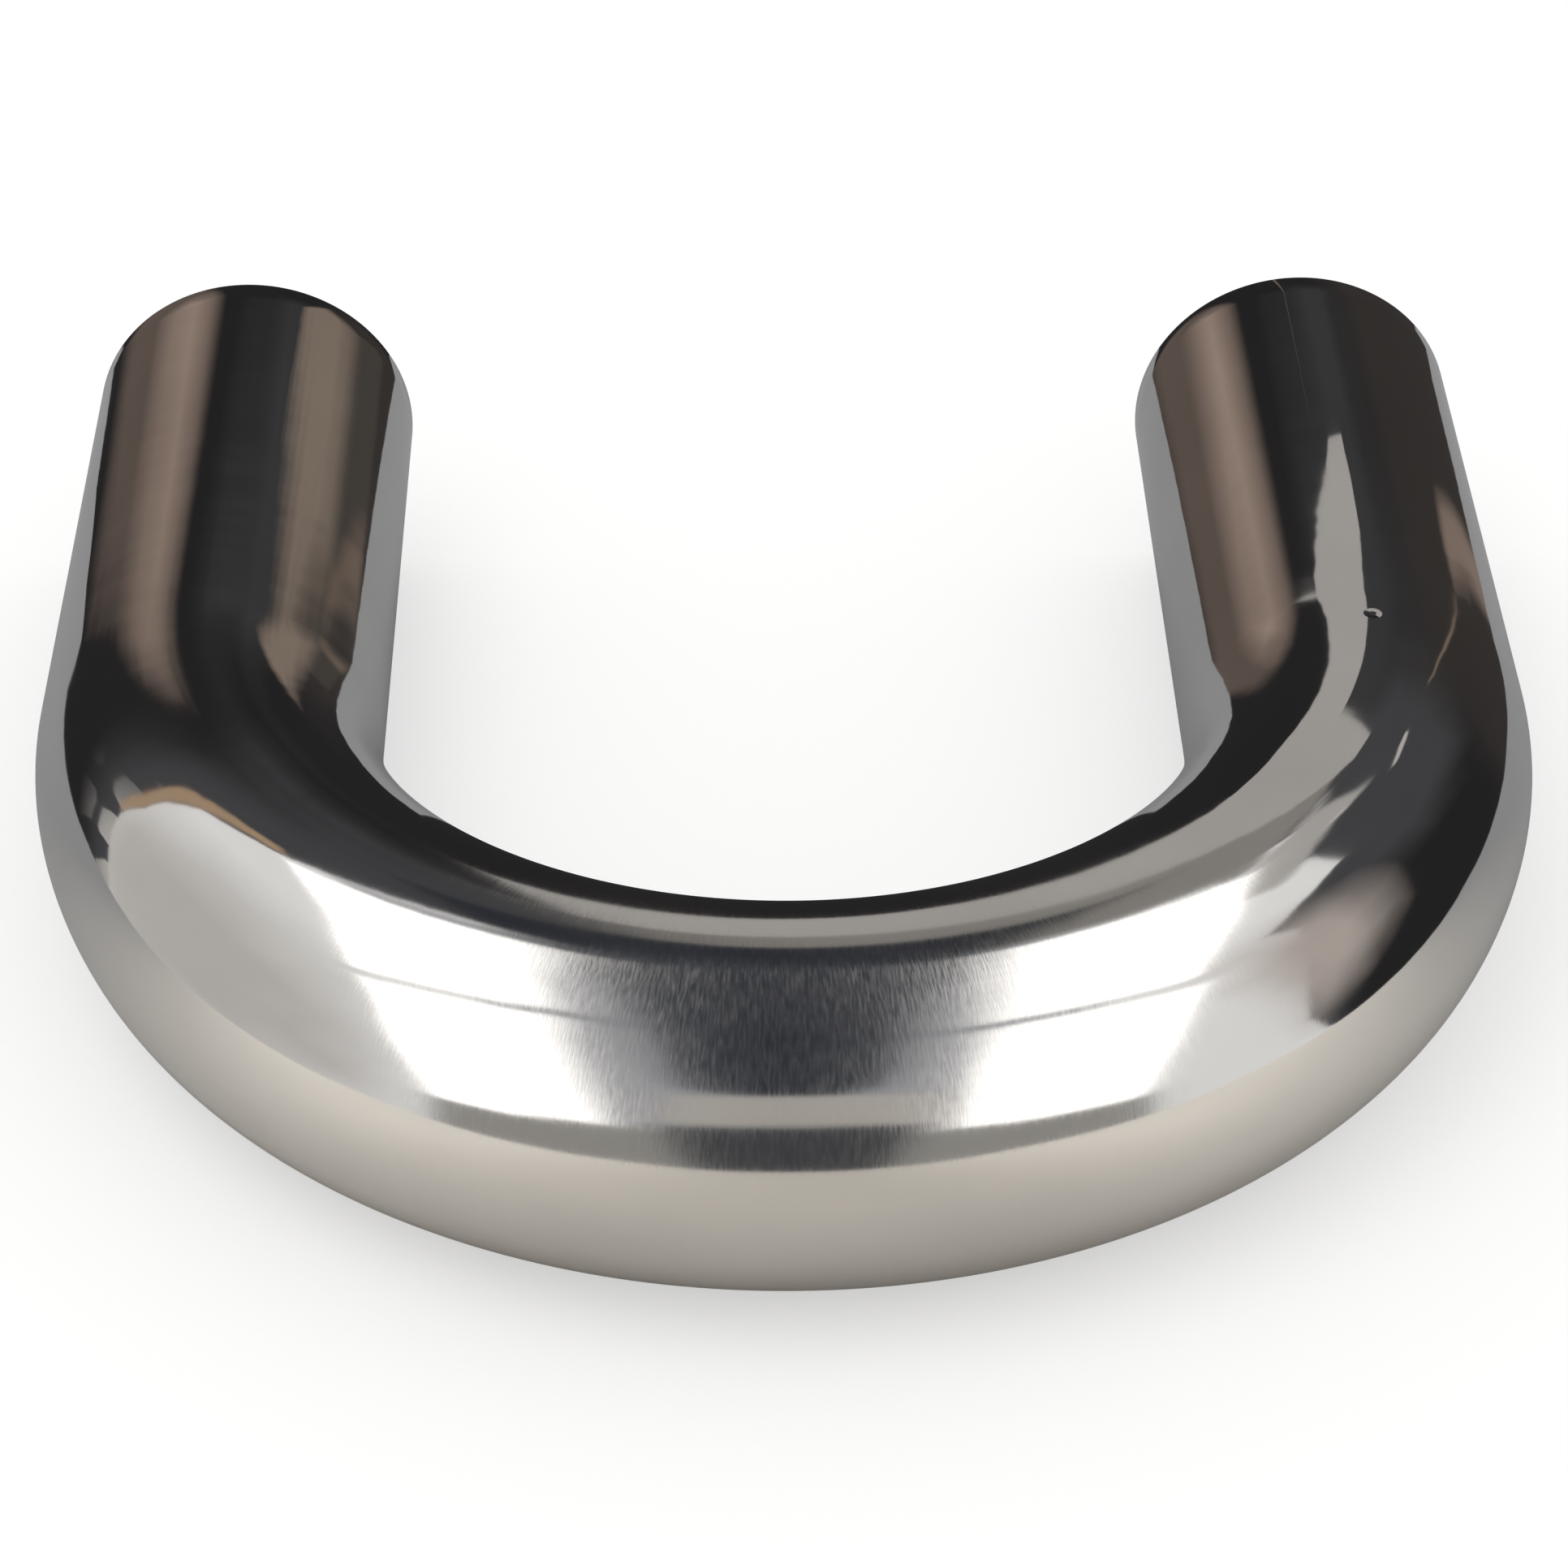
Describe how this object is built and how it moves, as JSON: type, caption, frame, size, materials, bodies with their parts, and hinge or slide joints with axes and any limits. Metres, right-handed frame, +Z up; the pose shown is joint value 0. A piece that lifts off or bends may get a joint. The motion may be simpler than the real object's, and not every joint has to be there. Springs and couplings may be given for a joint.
{
  "type": "mandrel bend tube",
  "caption": "U-shaped bend of thin polished stainless tube, with two straight legs and open square-cut ends, for joining to pipe, hose or another bend.",
  "frame": {"origin": "on the floor, under the middle of the whole tube as it lies flat", "axes": "+X across the two legs, +Y along the legs towards their open ends, +Z up, square to the plane of the bend"},
  "size_m": [0.26, 0.2397, 0.063],
  "materials": {
    "polished_stainless": "bright polished stainless steel with fine brush marks round the tube"
  },
  "bodies": {
    "root": {"bent_tube": "polished_stainless"}
  },
  "joints": []
}
